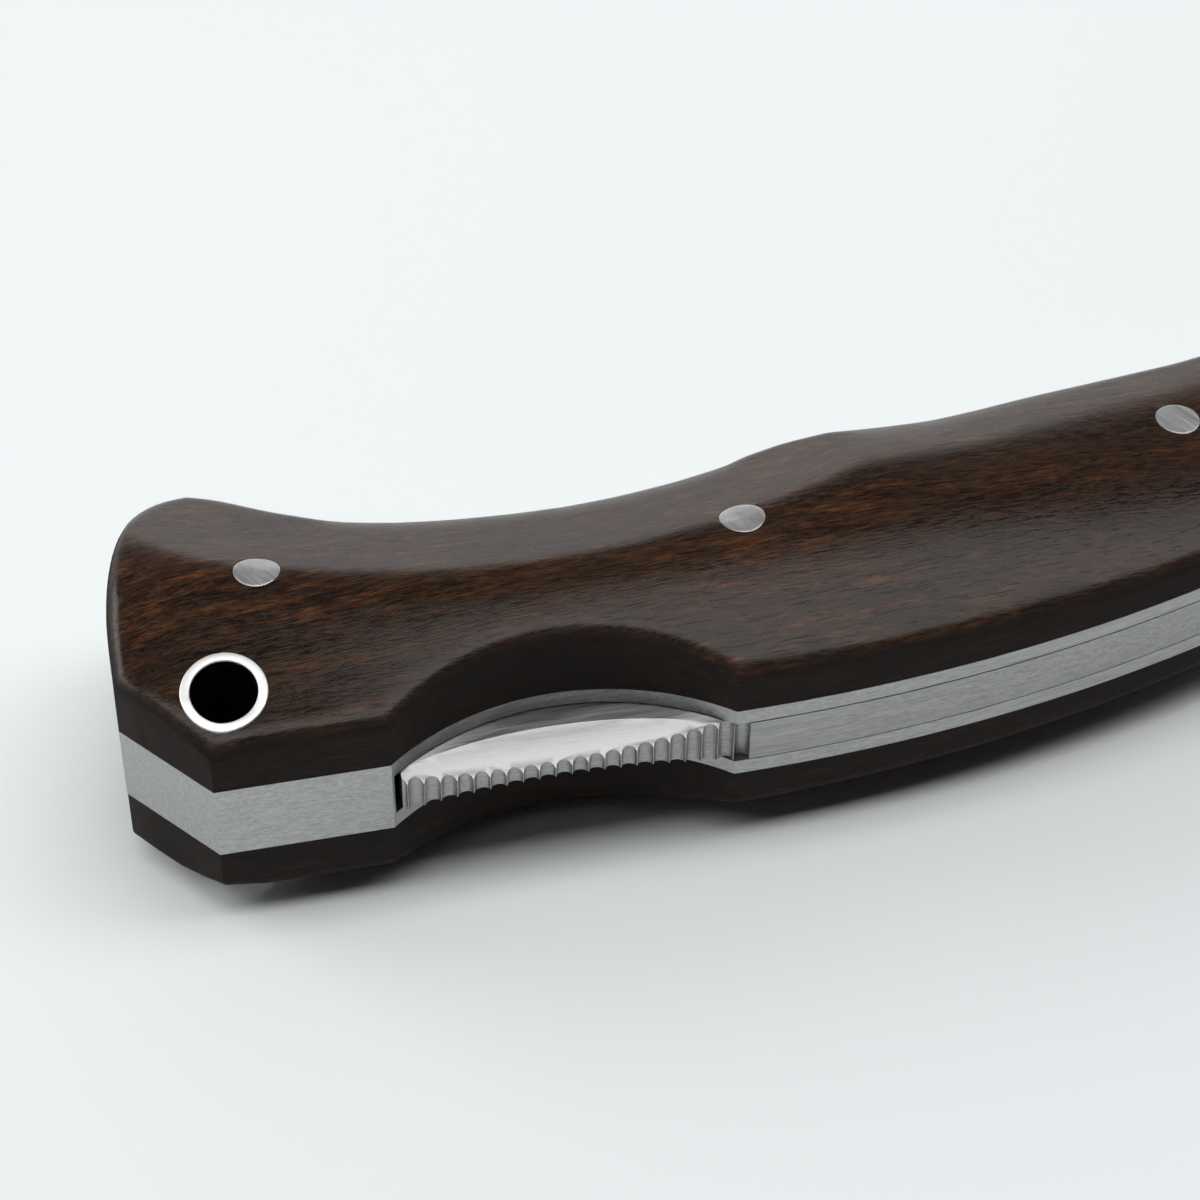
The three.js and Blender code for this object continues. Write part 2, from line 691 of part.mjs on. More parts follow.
function lockBar() {
  const camRoom = hole(PIVOT, CAM_RADIUS + TOOTH_GAP, LARGE_SIDES);
  const tooth = toothBlock(0).intersect(plate(outline, barBottom, barTop));
  const boss = rod(lockPin, LOCK_BOSS_RADIUS, barBottom, barTop, TUBE_SIDES);
  const body = joined(plate(barPoints(), barBottom, barTop), boss, tooth);
  const pinHole = hole(lockPin, LOCK_PIN_RADIUS + RUNNING_GAP);
  return cut(body, camRoom, pinHole, scallop(1), scallop(-1), ...flutes());
}

// Where the tooth goes in the tang when the blade is closed. Turned half round the pivot, it is
// the lock notch of the open blade.
function toothPocket() {
  const floor = new THREE.Vector2(PIVOT.x, PIVOT.y + TOOTH_BITE + POCKET_GAP);
  return toothBlock(POCKET_GAP).subtract(hole(floor, CAM_RADIUS, LARGE_SIDES));
}

function halfTurned(body) {
  const geometry = geometryOf(body);
  geometry.translate(-PIVOT.x, -PIVOT.y, 0).rotateZ(Math.PI).translate(PIVOT.x, PIVOT.y, 0);
  return solid(geometry);
}

// Blade shape, closed, as distances behind the pivot and above it
const spacerFaceX = onBack(BUTT_LAND + SPACER_OVERHANG, SPRING_ROOT_DEPTH).x;
const BLADE_LENGTH = PIVOT.x - spacerFaceX - TIP_CLEARANCE;
const spineTop = NOSE_RADIUS - SPINE_INSET;
const edgeDrop = RICASSO_DROP - EDGE_RISE;
const spineLine = smoothAlong(
  SPINE_SHAPE.map(([share, rise]) => [BLADE_LENGTH * share, spineTop + rise]),
);
const edgeLine = smoothAlong([
  ...EDGE_SHAPE.map(([share, rise]) => [BLADE_LENGTH * share, rise - edgeDrop]),
  [BLADE_LENGTH, spineTop + SPINE_SHAPE.at(-1)[1] - TIP_HEIGHT],
]);

// The ground part of the blade: a loft of six-cornered sections from the plunge to the tip.
function groundBlade() {
  const start = RICASSO_LENGTH - PLUNGE_LENGTH;
  const ground = spread(RICASSO_LENGTH, BLADE_LENGTH, LONG_STEP);
  const stations = [start, start + PLUNGE_STEP, ...ground, BLADE_LENGTH];
  const positions = [];
  const index = [];
  stations.forEach((behind, i) => {
    const taper = Math.max(0, behind / BLADE_LENGTH - TAPER_START) / (1 - TAPER_START);
    const half = THREE.MathUtils.lerp(BLADE_THICKNESS / 2, TIP_HALF_THICKNESS, taper);
    const edgeHalf = i < 2 ? half : EDGE_HALF_THICKNESS;
    const edge = edgeLine(behind);
    const spine = spineLine(behind);
    const grind = edge + (spine - edge) * GRIND_SHARE;
    const section = [
      [edge, -edgeHalf],
      [edge, edgeHalf],
      [grind, half],
      [spine, half],
      [spine, -half],
      [grind, -half],
    ];
    section.forEach(([up, z]) => positions.push(PIVOT.x - behind, PIVOT.y + up, z));
  });
  const corners = 6;
  for (let i = 0; i < stations.length - 1; i++) {
    for (let j = 0; j < corners; j++) {
      const a = i * corners + j;
      const b = i * corners + ((j + 1) % corners);
      index.push(a, b, a + corners, b, b + corners, a + corners);
    }
  }
  const last = (stations.length - 1) * corners;
  for (let j = 1; j < corners - 1; j++) {
    index.push(0, j + 1, j);
    index.push(last, last + j, last + j + 1);
  }
  const geometry = new THREE.BufferGeometry();
  geometry.setAttribute("position", new THREE.Float32BufferAttribute(positions, 3));
  geometry.setIndex(index);
  return solid(geometry);
}

function nailNick() {
  const geometry = new THREE.CylinderGeometry(
    NICK_RADIUS,
    NICK_RADIUS - NICK_SLANT,
    NICK_WIDTH,
    LARGE_SIDES,
  );
  geometry.translate(
    PIVOT.x - NICK_FROM_PIVOT,
    PIVOT.y + spineLine(NICK_FROM_PIVOT) - NICK_BELOW_SPINE - NICK_WIDTH / 2,
    BLADE_THICKNESS / 2 - NICK_DEPTH + NICK_RADIUS,
  );
  return solid(geometry);
}

function blade() {
  const half = BLADE_THICKNESS / 2;
  const shoulder = PIVOT.x + TOOTH_FRONT;
  const overlap = RICASSO_LENGTH - PLUNGE_LENGTH + RICASSO_LAP;
  const ricasso = plate(
    [
      new THREE.Vector2(PIVOT.x - overlap, kickY),
      new THREE.Vector2(PIVOT.x, kickY),
      new THREE.Vector2(shoulder, PIVOT.y),
      new THREE.Vector2(shoulder, PIVOT.y + spineTop),
      new THREE.Vector2(PIVOT.x - overlap, PIVOT.y + spineLine(overlap)),
    ],
    -half,
    half,
  );
  const body = joined(rod(PIVOT, CAM_RADIUS, -half, half, LARGE_SIDES), ricasso, groundBlade());
  const pocket = toothPocket();
  const pinHole = hole(PIVOT, PIVOT_PIN_RADIUS + RUNNING_GAP);
  return cut(body, pocket, halfTurned(pocket), pinHole, nailNick());
}

// The washer is small enough for the tooth to drop past it into the lock notch.
function washer() {
  const radius = CAM_RADIUS - TOOTH_BITE - WASHER_INSET;
  const ring = rod(PIVOT, radius, CORE_HALF - WASHER_THICKNESS, CORE_HALF);
  return ring.subtract(hole(PIVOT, PIVOT_PIN_RADIUS + RUNNING_GAP));
}

function lanyardTube() {
  const bore = hole(lanyard, LANYARD_BORE_RADIUS, TUBE_SIDES);
  return flushThrough(lanyard, LANYARD_OUTER_RADIUS, TUBE_SIDES).subtract(bore);
}

// Materials
const metal = (color, roughness) =>
  new THREE.MeshStandardMaterial({ color, roughness, metalness: 1 });
const rosewood = () =>
  new THREE.MeshStandardMaterial({ color: 0x3a2015, roughness: 0.4, metalness: 0 });
const satinSteel = () => metal(0xb9babb, 0.38);
const springSteel = () => metal(0x9fa2a6, 0.45);
const bladeSteel = () => metal(0xc4c6c8, 0.3);
const polishedSteel = () => metal(0xc9cacb, 0.25);
const nickelSilver = () => metal(0xe4e3df, 0.18);
const bronze = () => metal(0xa9783c, 0.4);

// Assembly
const knife = new THREE.Group();

function place(name, body, material, geometry = geometryOf(body)) {
  geometry.computeVertexNormals();
  const mesh = new THREE.Mesh(geometry, material);
  mesh.name = name;
  knife.add(mesh);
}

function placePair(name, body, material) {
  const geometry = geometryOf(body);
  place("upper_" + name, body, material());
  place("lower_" + name, body, material(), mirrored(geometry));
}

placePair("scale", scale(), rosewood);
placePair("liner", liner(), satinSteel);
place("butt_spacer", buttSpacer(), satinSteel());
place("lock_bar", lockBar(), satinSteel());
place("lock_bar_pin", pinBetween(lockPin, LOCK_PIN_RADIUS), polishedSteel());
place("lock_spring", lockSpring(), springSteel());
place("spring_pin", pinBetween(springPin, SPRING_PIN_RADIUS, SMALL_SIDES), polishedSteel());
place("blade", blade(), bladeSteel());
placePair("washer", washer(), bronze);
place("pivot_pin", flushThrough(PIVOT, PIVOT_PIN_RADIUS), polishedSteel());
place("stop_pin", pinBetween(stopPin, STOP_PIN_RADIUS, SMALL_SIDES), polishedSteel());
place("lanyard_tube", lanyardTube(), nickelSilver());
place("butt_pin", flushThrough(point(BUTT_PIN), RIVET_RADIUS), polishedSteel());
placePair("middle_rivet", blindRivet(point(MIDDLE_RIVET)), polishedSteel);
placePair("front_rivet", blindRivet(point(FRONT_RIVET)), polishedSteel);

const box = new THREE.Box3().setFromObject(knife);
const middle = box.getCenter(new THREE.Vector3());
knife.position.set(-middle.x, -middle.y, -box.min.z);

export default knife;
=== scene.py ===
# Folding pocket knife, closed and lying on its side: carved rosewood scales over a steel frame.
# Lengths on the knife are in millimetres and are made metres by MM. The room around it is in metres.
import math
from contextlib import contextmanager

import bmesh
import bpy
from mathutils import Matrix, Quaternion, Vector


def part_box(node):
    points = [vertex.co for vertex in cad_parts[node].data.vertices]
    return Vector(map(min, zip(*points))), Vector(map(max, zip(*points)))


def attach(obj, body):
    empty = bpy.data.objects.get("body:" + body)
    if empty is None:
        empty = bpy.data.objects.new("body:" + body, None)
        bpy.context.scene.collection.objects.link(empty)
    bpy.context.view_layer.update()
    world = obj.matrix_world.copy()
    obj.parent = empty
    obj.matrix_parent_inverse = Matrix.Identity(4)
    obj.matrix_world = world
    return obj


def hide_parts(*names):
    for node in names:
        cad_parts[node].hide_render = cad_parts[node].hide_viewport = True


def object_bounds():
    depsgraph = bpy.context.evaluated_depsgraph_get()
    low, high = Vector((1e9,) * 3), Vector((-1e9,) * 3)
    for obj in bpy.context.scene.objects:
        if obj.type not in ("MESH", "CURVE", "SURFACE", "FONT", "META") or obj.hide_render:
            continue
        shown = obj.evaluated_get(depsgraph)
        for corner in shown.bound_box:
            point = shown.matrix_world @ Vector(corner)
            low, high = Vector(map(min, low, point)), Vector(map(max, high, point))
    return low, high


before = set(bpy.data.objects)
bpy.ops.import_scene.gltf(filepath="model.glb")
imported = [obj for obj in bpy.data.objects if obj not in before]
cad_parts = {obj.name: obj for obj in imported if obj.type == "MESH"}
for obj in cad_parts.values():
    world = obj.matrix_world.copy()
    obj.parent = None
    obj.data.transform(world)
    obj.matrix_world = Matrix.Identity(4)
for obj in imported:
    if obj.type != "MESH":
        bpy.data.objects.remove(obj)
cad_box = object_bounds()
bpy.context.preferences.edit.use_global_undo = False

MM = 0.001

# Finding faces, by place in millimetres or by the upward part of their normal
SAME_PLACE = 0.001
WELD_GAP = 0.002
WALL_TILT = 0.3
END_TILT = 0.9
LIP_TILT = 0.8
HOLE_MARGIN = 0.1

# Turns between faces, in degrees
FLAT_TURN = 0.3
BLADE_TURN = 20
STEEL_TURN = 30
PIN_TURN = 35
WOOD_TURN = 40
ROD_TURN = 50

# Wood
RIM_RADIUS = 0.75
RIM_STEPS = (0.02, 0.04, 0.08, 0.13, 0.2, 0.3)
SHEET_LIFT = 12
RING_LIFT = 1
CROWN_CELL = 0.8
CROWN_FAIRING = 3
SHORTEST_EDGE = 0.2
CORNER_TURN = 20
OUTLINE_TRIM = 0.03
FIT_GAP = 0.02
DRILL_LENGTH = 40

# Metal
PIN_SIDES = 48
TUBE_SIDES = 72
PIN_PROUD = 0.01
PIN_EDGE = 0.05
PIN_RINGS = (0.12, 0.22, 0.22, 0.22)
END_DEPTH = 0.01
TUBE_WALL = 0.56
TUBE_LIP = 0.11
TUBE_LIP_LINE = 0.02
TUBE_PROUD = 0.06
BORE_MARGIN = 0.01
BAR_EDGE = 0.006
INNER_EDGE = 0.05

# Lever: a crowned wheel that leans across its back grinds a scallop in either side.
TUBE_FROM_CORNER = (1.95, 3.05)
BACK_SLOPE = 11.3
SCALLOP_ALONG = 18.7
SCALLOP_RISE = 0.07
SCALLOP_RADIUS = 52
SCALLOP_CROWN = 11
SCALLOP_WAIST = 0.32
SCALLOP_HEIGHT = 2.2
WHEEL_BITE = 0.05
WHEEL_SLICE = 3
WHEEL_STEPS = (540, 160)


def pick(piece):
    """Leaves this piece alone selected and active."""
    bpy.ops.object.select_all(action="DESELECT")
    piece.select_set(True)
    bpy.context.view_layer.objects.active = piece


@contextmanager
def edit(piece, mode="FACE"):
    """Edit mode on one piece, with nothing selected."""
    pick(piece)
    bpy.ops.object.mode_set(mode="EDIT")
    bpy.ops.mesh.select_mode(type=mode)
    bpy.ops.mesh.select_all(action="DESELECT")
    yield
    bpy.ops.object.mode_set(mode="OBJECT")


def select(piece, kind, test):
    """Selects the vertices or faces of the edited piece that pass a test."""
    mesh = bmesh.from_edit_mesh(piece.data)
    for element in getattr(mesh, kind):
        if test(element):
            element.select_set(True)
    mesh.select_flush_mode()
    bmesh.update_edit_mesh(piece.data)


def modify(piece, kind, **settings):
    """Adds a modifier and applies it."""
    pick(piece)
    modifier = piece.modifiers.new(kind.lower(), kind)
    for name, value in settings.items():
        setattr(modifier, name, value)
    bpy.ops.object.modifier_apply(modifier=modifier.name)


def merged_copy(node, name):
    """A copy of a frame node with its loose triangles joined into one skin."""
    piece = bpy.data.objects.new(name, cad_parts[node].data.copy())
    bpy.context.scene.collection.objects.link(piece)
    piece.data.materials.clear()
    pick(piece)
    bpy.ops.mesh.customdata_custom_splitnormals_clear()
    with edit(piece, "VERT"):
        bpy.ops.mesh.select_all(action="SELECT")
        bpy.ops.mesh.remove_doubles(threshold=WELD_GAP * MM)
    return piece


def smooth(piece, degrees):
    """Smooth shading, apart from edges that turn more than this."""
    pick(piece)
    bpy.ops.object.shade_smooth_by_angle(angle=math.radians(degrees))


def middle_of(node):
    low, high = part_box(node)
    return (low + high) / 2


def radius_of(node):
    low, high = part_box(node)
    return (high.x - low.x) / 2


ROUND_NODES = {
    "upper": ["lanyard_tube", "butt_pin", "pivot_pin", "upper_middle_rivet", "upper_front_rivet"],
    "lower": ["lanyard_tube", "butt_pin", "pivot_pin", "lower_middle_rivet", "lower_front_rivet"],
}


def beside(co, node, extra):
    """Whether a point lies within a round node, or within so much more of it."""
    centre = middle_of(node)
    reach = radius_of(node) + extra * MM
    return math.hypot(co.x - centre.x, co.y - centre.y) < reach


def filled_copy(half):
    """A copy of one frame scale with its drilled holes closed."""
    piece = merged_copy(half + "_scale", half + "_scale_filled")
    with edit(piece):
        select(
            piece,
            "faces",
            lambda f: abs(f.normal.z) < WALL_TILT and in_a_hole(f.calc_center_median(), half),
        )
        bpy.ops.mesh.delete(type="FACE")
        bpy.ops.mesh.select_all(action="SELECT")
        bpy.ops.mesh.fill_holes(sides=0)
    return piece


def in_a_hole(co, half):
    return any(beside(co, node, HOLE_MARGIN) for node in ROUND_NODES[half])


def turn_at(vertex):
    """How sharply an outline turns at one of its vertices, in degrees."""
    ahead, behind = (edge.other_vert(vertex).co - vertex.co for edge in vertex.link_edges)
    return 180 - math.degrees(ahead.angle(behind))


def outline_sheet(half, side, base):
    """One flat face with the outline of a scale, facing away from the liner."""
    sheet = merged_copy(half + "_scale", half + "_scale_form")
    with edit(sheet):
        select(
            sheet,
            "faces",
            lambda f: abs(f.calc_center_median().z - base) > SAME_PLACE * MM,
        )
        bpy.ops.mesh.delete(type="FACE")
    with edit(sheet, "EDGE"):
        select(
            sheet,
            "edges",
            lambda e: e.is_boundary and not in_a_hole((e.verts[0].co + e.verts[1].co) / 2, half),
        )
        bpy.ops.mesh.select_all(action="INVERT")
        bpy.ops.mesh.delete(type="EDGE")
        bpy.ops.mesh.select_all(action="SELECT")
        bpy.ops.mesh.remove_doubles(threshold=SHORTEST_EDGE * MM)
        bpy.ops.mesh.subdivide(number_cuts=1)
    with edit(sheet, "VERT"):
        select(sheet, "verts", lambda v: turn_at(v) < CORNER_TURN)
        bpy.ops.mesh.vertices_smooth(factor=0.5, repeat=2)
        bpy.ops.mesh.select_all(action="SELECT")
        bpy.ops.mesh.edge_face_add()
    with edit(sheet):
        bpy.ops.mesh.select_all(action="SELECT")
        bpy.ops.mesh.inset(thickness=OUTLINE_TRIM * MM, depth=0)
        bpy.ops.mesh.select_all(action="INVERT")
        bpy.ops.mesh.delete(type="FACE")
    if sheet.data.polygons[0].normal.z * side < 0:
        sheet.data.flip_normals()
    with edit(sheet):
        bpy.ops.mesh.select_all(action="SELECT")
        bpy.ops.transform.translate(value=(0, 0, side * SHEET_LIFT * MM))
    return sheet


def cut_into_cells(low, high):
    """Cuts what shows in edit mode along X and along Y, one cell apart."""
    for axis in (0, 1):
        normal = [0, 0, 0]
        normal[axis] = 1
        place = low[axis] + CROWN_CELL * MM / 2
        while place < high[axis]:
            point = [0, 0, 0]
            point[axis] = place
            bpy.ops.mesh.select_all(action="SELECT")
            bpy.ops.mesh.bisect(plane_co=point, plane_no=normal)
            place += CROWN_CELL * MM


def round_rim(form, ring_of, side):
    """Lowers each ring of the rim by what a rounded edge drops there."""
    inset = 0
    for ring, step in enumerate(RIM_STEPS):
        across = max(0, RIM_RADIUS - inset)
        drop = RIM_RADIUS - math.sqrt(RIM_RADIUS**2 - across**2)
        with edit(form, "VERT"):
            select(form, "verts", lambda v: ring_of[v.index] == ring)
            bpy.ops.transform.translate(value=(0, 0, -side * drop * MM))
        inset += step


def wood_form(half, side):
    """One scale before it is drilled: a fine net laid on the crown, with a rounded rim."""
    low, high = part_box(half + "_scale")
    base = low.z if side > 0 else high.z
    crown = filled_copy(half)
    form = outline_sheet(half, side, base)
    with edit(form):
        bpy.ops.mesh.select_all(action="SELECT")
        for step in RIM_STEPS:
            bpy.ops.mesh.inset(thickness=step * MM, depth=RING_LIFT * MM)
        bpy.ops.mesh.select_all(action="INVERT")
        bpy.ops.mesh.hide(unselected=False)
        cut_into_cells(low, high)
        bpy.ops.mesh.reveal(select=False)
    ring_of = [
        round((v.co.z - base) * side / MM / RING_LIFT - SHEET_LIFT / RING_LIFT)
        for v in form.data.vertices
    ]
    inner = form.vertex_groups.new(name="inner")
    inner.add([i for i, ring in enumerate(ring_of) if ring == len(RIM_STEPS)], 1.0, "REPLACE")
    modify(
        form,
        "SHRINKWRAP",
        target=crown,
        wrap_method="PROJECT",
        use_project_z=True,
        use_negative_direction=True,
        use_positive_direction=True,
    )
    modify(form, "SMOOTH", factor=0.5, iterations=CROWN_FAIRING, vertex_group="inner")
    form.vertex_groups.clear()
    round_rim(form, ring_of, side)
    with edit(form, "EDGE"):
        bpy.ops.mesh.select_non_manifold()
        bpy.ops.mesh.extrude_region_move()
        bpy.ops.transform.resize(value=(1, 1, 0), center_override=(0, 0, base))
        bpy.ops.mesh.edge_face_add()
        bpy.ops.mesh.select_all(action="SELECT")
        bpy.ops.mesh.normals_make_consistent(inside=False)
    bpy.data.objects.remove(crown)
    return form


def turned_over(form, name):
    """The same piece on the other side of the mid plane."""
    low, high = cad_box
    copy = bpy.data.objects.new(name, form.data.copy())
    bpy.context.scene.collection.objects.link(copy)
    with edit(copy):
        bpy.ops.mesh.select_all(action="SELECT")
        middle = (0, 0, (low.z + high.z) / 2)
        bpy.ops.transform.resize(value=(1, 1, -1), center_override=middle)
        bpy.ops.mesh.normals_make_consistent(inside=False)
    return copy


def capped_rod(name, node, sides):
    """A closed rod in a round node's place, as long and as thick as the node."""
    low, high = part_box(node)
    bpy.ops.mesh.primitive_cylinder_add(
        vertices=sides,
        radius=radius_of(node),
        depth=high.z - low.z,
        location=middle_of(node),
        end_fill_type="NGON",
    )
    rod = bpy.context.object
    rod.name = name
    bpy.ops.object.transform_apply(location=True, rotation=True, scale=True)
    return rod


def ringed_ends(rod, depths):
    """Insets both ends of a rod by each depth in turn and closes them round a middle point."""
    for way in (1, -1):
        with edit(rod):
            select(rod, "faces", lambda f: f.normal.z * way > END_TILT)
            for depth in depths:
                bpy.ops.mesh.inset(thickness=depth, depth=0)
            bpy.ops.mesh.poke()


def lay_flush(rod, form, way, proud=PIN_PROUD):
    """Lays the end of a rod on the crown of a scale and leaves it a hair proud."""
    end = max(v.co.z * way for v in rod.data.vertices) - END_DEPTH * MM
    group = rod.vertex_groups.new(name="end")
    group.add([v.index for v in rod.data.vertices if v.co.z * way > end], 1.0, "REPLACE")
    modify(
        rod,
        "SHRINKWRAP",
        target=form,
        wrap_method="PROJECT",
        use_project_z=True,
        use_negative_direction=True,
        use_positive_direction=True,
        vertex_group="end",
    )
    with edit(rod, "VERT"):
        bpy.ops.object.vertex_group_select()
        bpy.ops.transform.translate(value=(0, 0, way * proud * MM))
    rod.vertex_groups.clear()


def flush_pin(node, forms):
    """A pin whose ends follow the crowns that it meets."""
    rod = capped_rod(node + "_worked", node, PIN_SIDES)
    radius = radius_of(node)
    ringed_ends(rod, [radius * share for share in PIN_RINGS])
    for way, form in forms.items():
        lay_flush(rod, form, way)
    modify(
        rod,
        "BEVEL",
        width=PIN_EDGE * MM,
        segments=2,
        limit_method="ANGLE",
        angle_limit=math.radians(ROD_TURN),
    )
    smooth(rod, PIN_TURN)
    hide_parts(node)
    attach(rod, "handle")
    return rod


def flush_tube(node, forms):
    """The lanyard tube, open through the handle, with a rounded lip at both ends."""
    rod = capped_rod(node + "_worked", node, TUBE_SIDES)
    for way in (1, -1):
        with edit(rod):
            select(rod, "faces", lambda f: f.normal.z * way > END_TILT)
            bpy.ops.mesh.inset(thickness=TUBE_WALL * MM, depth=0)
            bpy.ops.mesh.delete(type="ONLY_FACE")
    with edit(rod, "EDGE"):
        bpy.ops.mesh.select_non_manifold()
        bpy.ops.mesh.bridge_edge_loops()
        bpy.ops.mesh.select_all(action="SELECT")
        bpy.ops.mesh.normals_make_consistent(inside=False)
    for way, form in forms.items():
        lay_flush(rod, form, way, TUBE_PROUD)
    modify(
        rod,
        "BEVEL",
        width=TUBE_LIP * MM,
        segments=4,
        limit_method="ANGLE",
        angle_limit=math.radians(ROD_TURN),
    )
    strip = (TUBE_LIP * MM / 2) ** 2
    with edit(rod):
        select(rod, "faces", lambda f: abs(f.normal.z) > LIP_TILT and f.calc_area() > strip)
        bpy.ops.mesh.inset(thickness=TUBE_LIP_LINE * MM, depth=0)
    smooth(rod, ROD_TURN)
    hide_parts(node)
    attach(rod, "handle")
    return rod


def drilled_scale(form, half):
    """The finished scale: the form with a hole for every pin that comes through it."""
    bpy.ops.object.select_all(action="DESELECT")
    drills = []
    for node in ROUND_NODES[half]:
        bpy.ops.mesh.primitive_cylinder_add(
            vertices=TUBE_SIDES,
            radius=radius_of(node) + FIT_GAP * MM,
            depth=DRILL_LENGTH * MM,
            location=middle_of(node),
        )
        drills.append(bpy.context.object)
    bpy.ops.object.select_all(action="DESELECT")
    for drill in drills:
        drill.select_set(True)
    bpy.context.view_layer.objects.active = drills[0]
    bpy.ops.object.join()
    drill = bpy.context.object
    modify(form, "BOOLEAN", operation="DIFFERENCE", object=drill, solver="EXACT")
    bpy.data.objects.remove(drill)
    form.name = half + "_scale_carved"
    smooth(form, WOOD_TURN)
    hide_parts(half + "_scale")
    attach(form, "handle")
    return form


def leaning_wheel(side, half_width):
    """A slice of the crowned wheel that grinds one side of the lever."""
    bpy.ops.object.select_all(action="DESELECT")
    bpy.ops.mesh.primitive_torus_add(
        major_radius=(SCALLOP_RADIUS - SCALLOP_CROWN) * MM,
        minor_radius=SCALLOP_CROWN * MM,
        major_segments=WHEEL_STEPS[0],
        minor_segments=WHEEL_STEPS[1],
        location=(0, 0, 0),
    )
    wheel = bpy.context.object
    with edit(wheel):
        bpy.ops.mesh.select_all(action="SELECT")
        bpy.ops.mesh.bisect(
            plane_co=((SCALLOP_RADIUS - WHEEL_SLICE) * MM, 0, 0),
            plane_no=(1, 0, 0),
            use_fill=True,
            clear_inner=True,
        )
    run = half_width - SCALLOP_WAIST * MM
    lean = math.atan2(run, SCALLOP_HEIGHT * MM)
    across = Vector((0, math.cos(lean), side * math.sin(lean)))
    inward = Vector((0, math.sin(lean), -side * math.cos(lean)))
    slant = math.hypot(run, SCALLOP_HEIGHT * MM)
    start = Vector((SCALLOP_ALONG * MM, -SCALLOP_RISE * MM, side * SCALLOP_WAIST * MM))
    centre = start + across * slant / 2 - inward * (SCALLOP_RADIUS - WHEEL_BITE) * MM
    turned = Matrix((inward, across.cross(inward), across)).transposed().to_4x4()
    middle = middle_of("lanyard_tube")
    corner = middle - Vector((*TUBE_FROM_CORNER, 0)) * MM
    slope = Matrix.Rotation(-math.radians(BACK_SLOPE), 4, "Z")
    wheel.matrix_world = Matrix.Translation(corner) @ slope @ Matrix.Translation(centre) @ turned
    pick(wheel)
    bpy.ops.object.transform_apply(location=True, rotation=True, scale=True)
    return wheel


def ground_lock_bar():
    """The lock bar, drawn out from its outline, with the sides of its lever ground hollow."""
    low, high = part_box("lock_bar")
    middle = middle_of("lanyard_tube").z
    bar = merged_copy("lock_bar", "lock_bar_ground")
    with edit(bar):
        bpy.ops.mesh.select_all(action="SELECT")
        bpy.ops.mesh.bisect(
            plane_co=(0, 0, middle), plane_no=(0, 0, 1), use_fill=True, clear_outer=True
        )
        bpy.ops.mesh.select_all(action="DESELECT")
        select(bar, "faces", lambda f: abs(f.calc_center_median().z - middle) > SAME_PLACE * MM)
        bpy.ops.mesh.delete(type="FACE")
        bpy.ops.mesh.select_all(action="SELECT")
        bpy.ops.transform.translate(value=(0, 0, low.z - middle))
        bpy.ops.mesh.extrude_region_move()
        bpy.ops.transform.translate(value=(0, 0, high.z - low.z))
        bpy.ops.mesh.select_all(action="SELECT")
        bpy.ops.mesh.normals_make_consistent(inside=False)
    for side in (1, -1):
        wheel = leaning_wheel(side, high.z - middle)
        modify(bar, "BOOLEAN", operation="DIFFERENCE", object=wheel, solver="EXACT")
        bpy.data.objects.remove(wheel)
    return finished(bar, "lock_bar", "lock_bar", BAR_EDGE, STEEL_TURN)


def eased(node, body, edge=0, degrees=STEEL_TURN):
    """A merged copy of a frame node, with its sharp edges broken by this much."""
    return finished(merged_copy(node, node + "_eased"), node, body, edge, degrees)


def finished(piece, node, body, edge, degrees):
    """Joins the flat faces of a piece, breaks its edges and puts it on its body."""
    with edit(piece):
        bpy.ops.mesh.select_all(action="SELECT")
        bpy.ops.mesh.dissolve_limited(angle_limit=math.radians(FLAT_TURN))
    if edge:
        modify(
            piece,
            "BEVEL",
            width=edge * MM,
            segments=2,
            limit_method="ANGLE",
            angle_limit=math.radians(degrees),
            use_clamp_overlap=True,
        )
    smooth(piece, degrees)
    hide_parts(node)
    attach(piece, body)
    return piece


# Grain, pores and scratches
GRAIN_TURN = 8
CURLS_PER_METRE = (110, 260, 260)
CURL_REACH = 0.6
PORE_DEPTH = 0.02
PORE_STRENGTH = 0.22
WOOD_SHINE = 0.22
WOOD_IOR = 1.5
# Where the walls and rim begin, how much painted shade they carry, and how much rougher they are
WALL_LEVELS = (0.45, 0.93)
WALL_PAINTED_SHADE = 0.74
WALL_ROUGHNESS = 0.6
PIN_SCRATCH_TURN = 70


# Shader building
def node_in(tree, kind, place=(0, 0), **settings):
    made = tree.nodes.new(kind)
    made.location = place
    for name, value in settings.items():
        setattr(made, name, value)
    return made


def link(tree, source, target):
    tree.links.new(source, target)


def group_socket(tree, name, way, kind):
    tree.interface.new_socket(name=name, in_out=way, socket_type=kind)


def maths(tree, operation, a, b=None, clamp=False):
    """One step of arithmetic on numbers or sockets."""
    made = node_in(tree, "ShaderNodeMath", operation=operation, use_clamp=clamp)
    for slot, value in enumerate((a, b)):
        if value is None:
            continue
        if isinstance(value, (int, float)):
            made.inputs[slot].default_value = value
        else:
            link(tree, value, made.inputs[slot])
    return made.outputs[0]


def mapped(tree, source, low, high, out_low=0.0, out_high=1.0):
    """A smooth ramp from one range of values to another."""
    made = node_in(tree, "ShaderNodeMapRange", interpolation_type="SMOOTHSTEP")
    link(tree, source, made.inputs["Value"])
    made.inputs["From Min"].default_value = low
    made.inputs["From Max"].default_value = high
    made.inputs["To Min"].default_value = out_low
    made.inputs["To Max"].default_value = out_high
    return made.outputs["Result"]


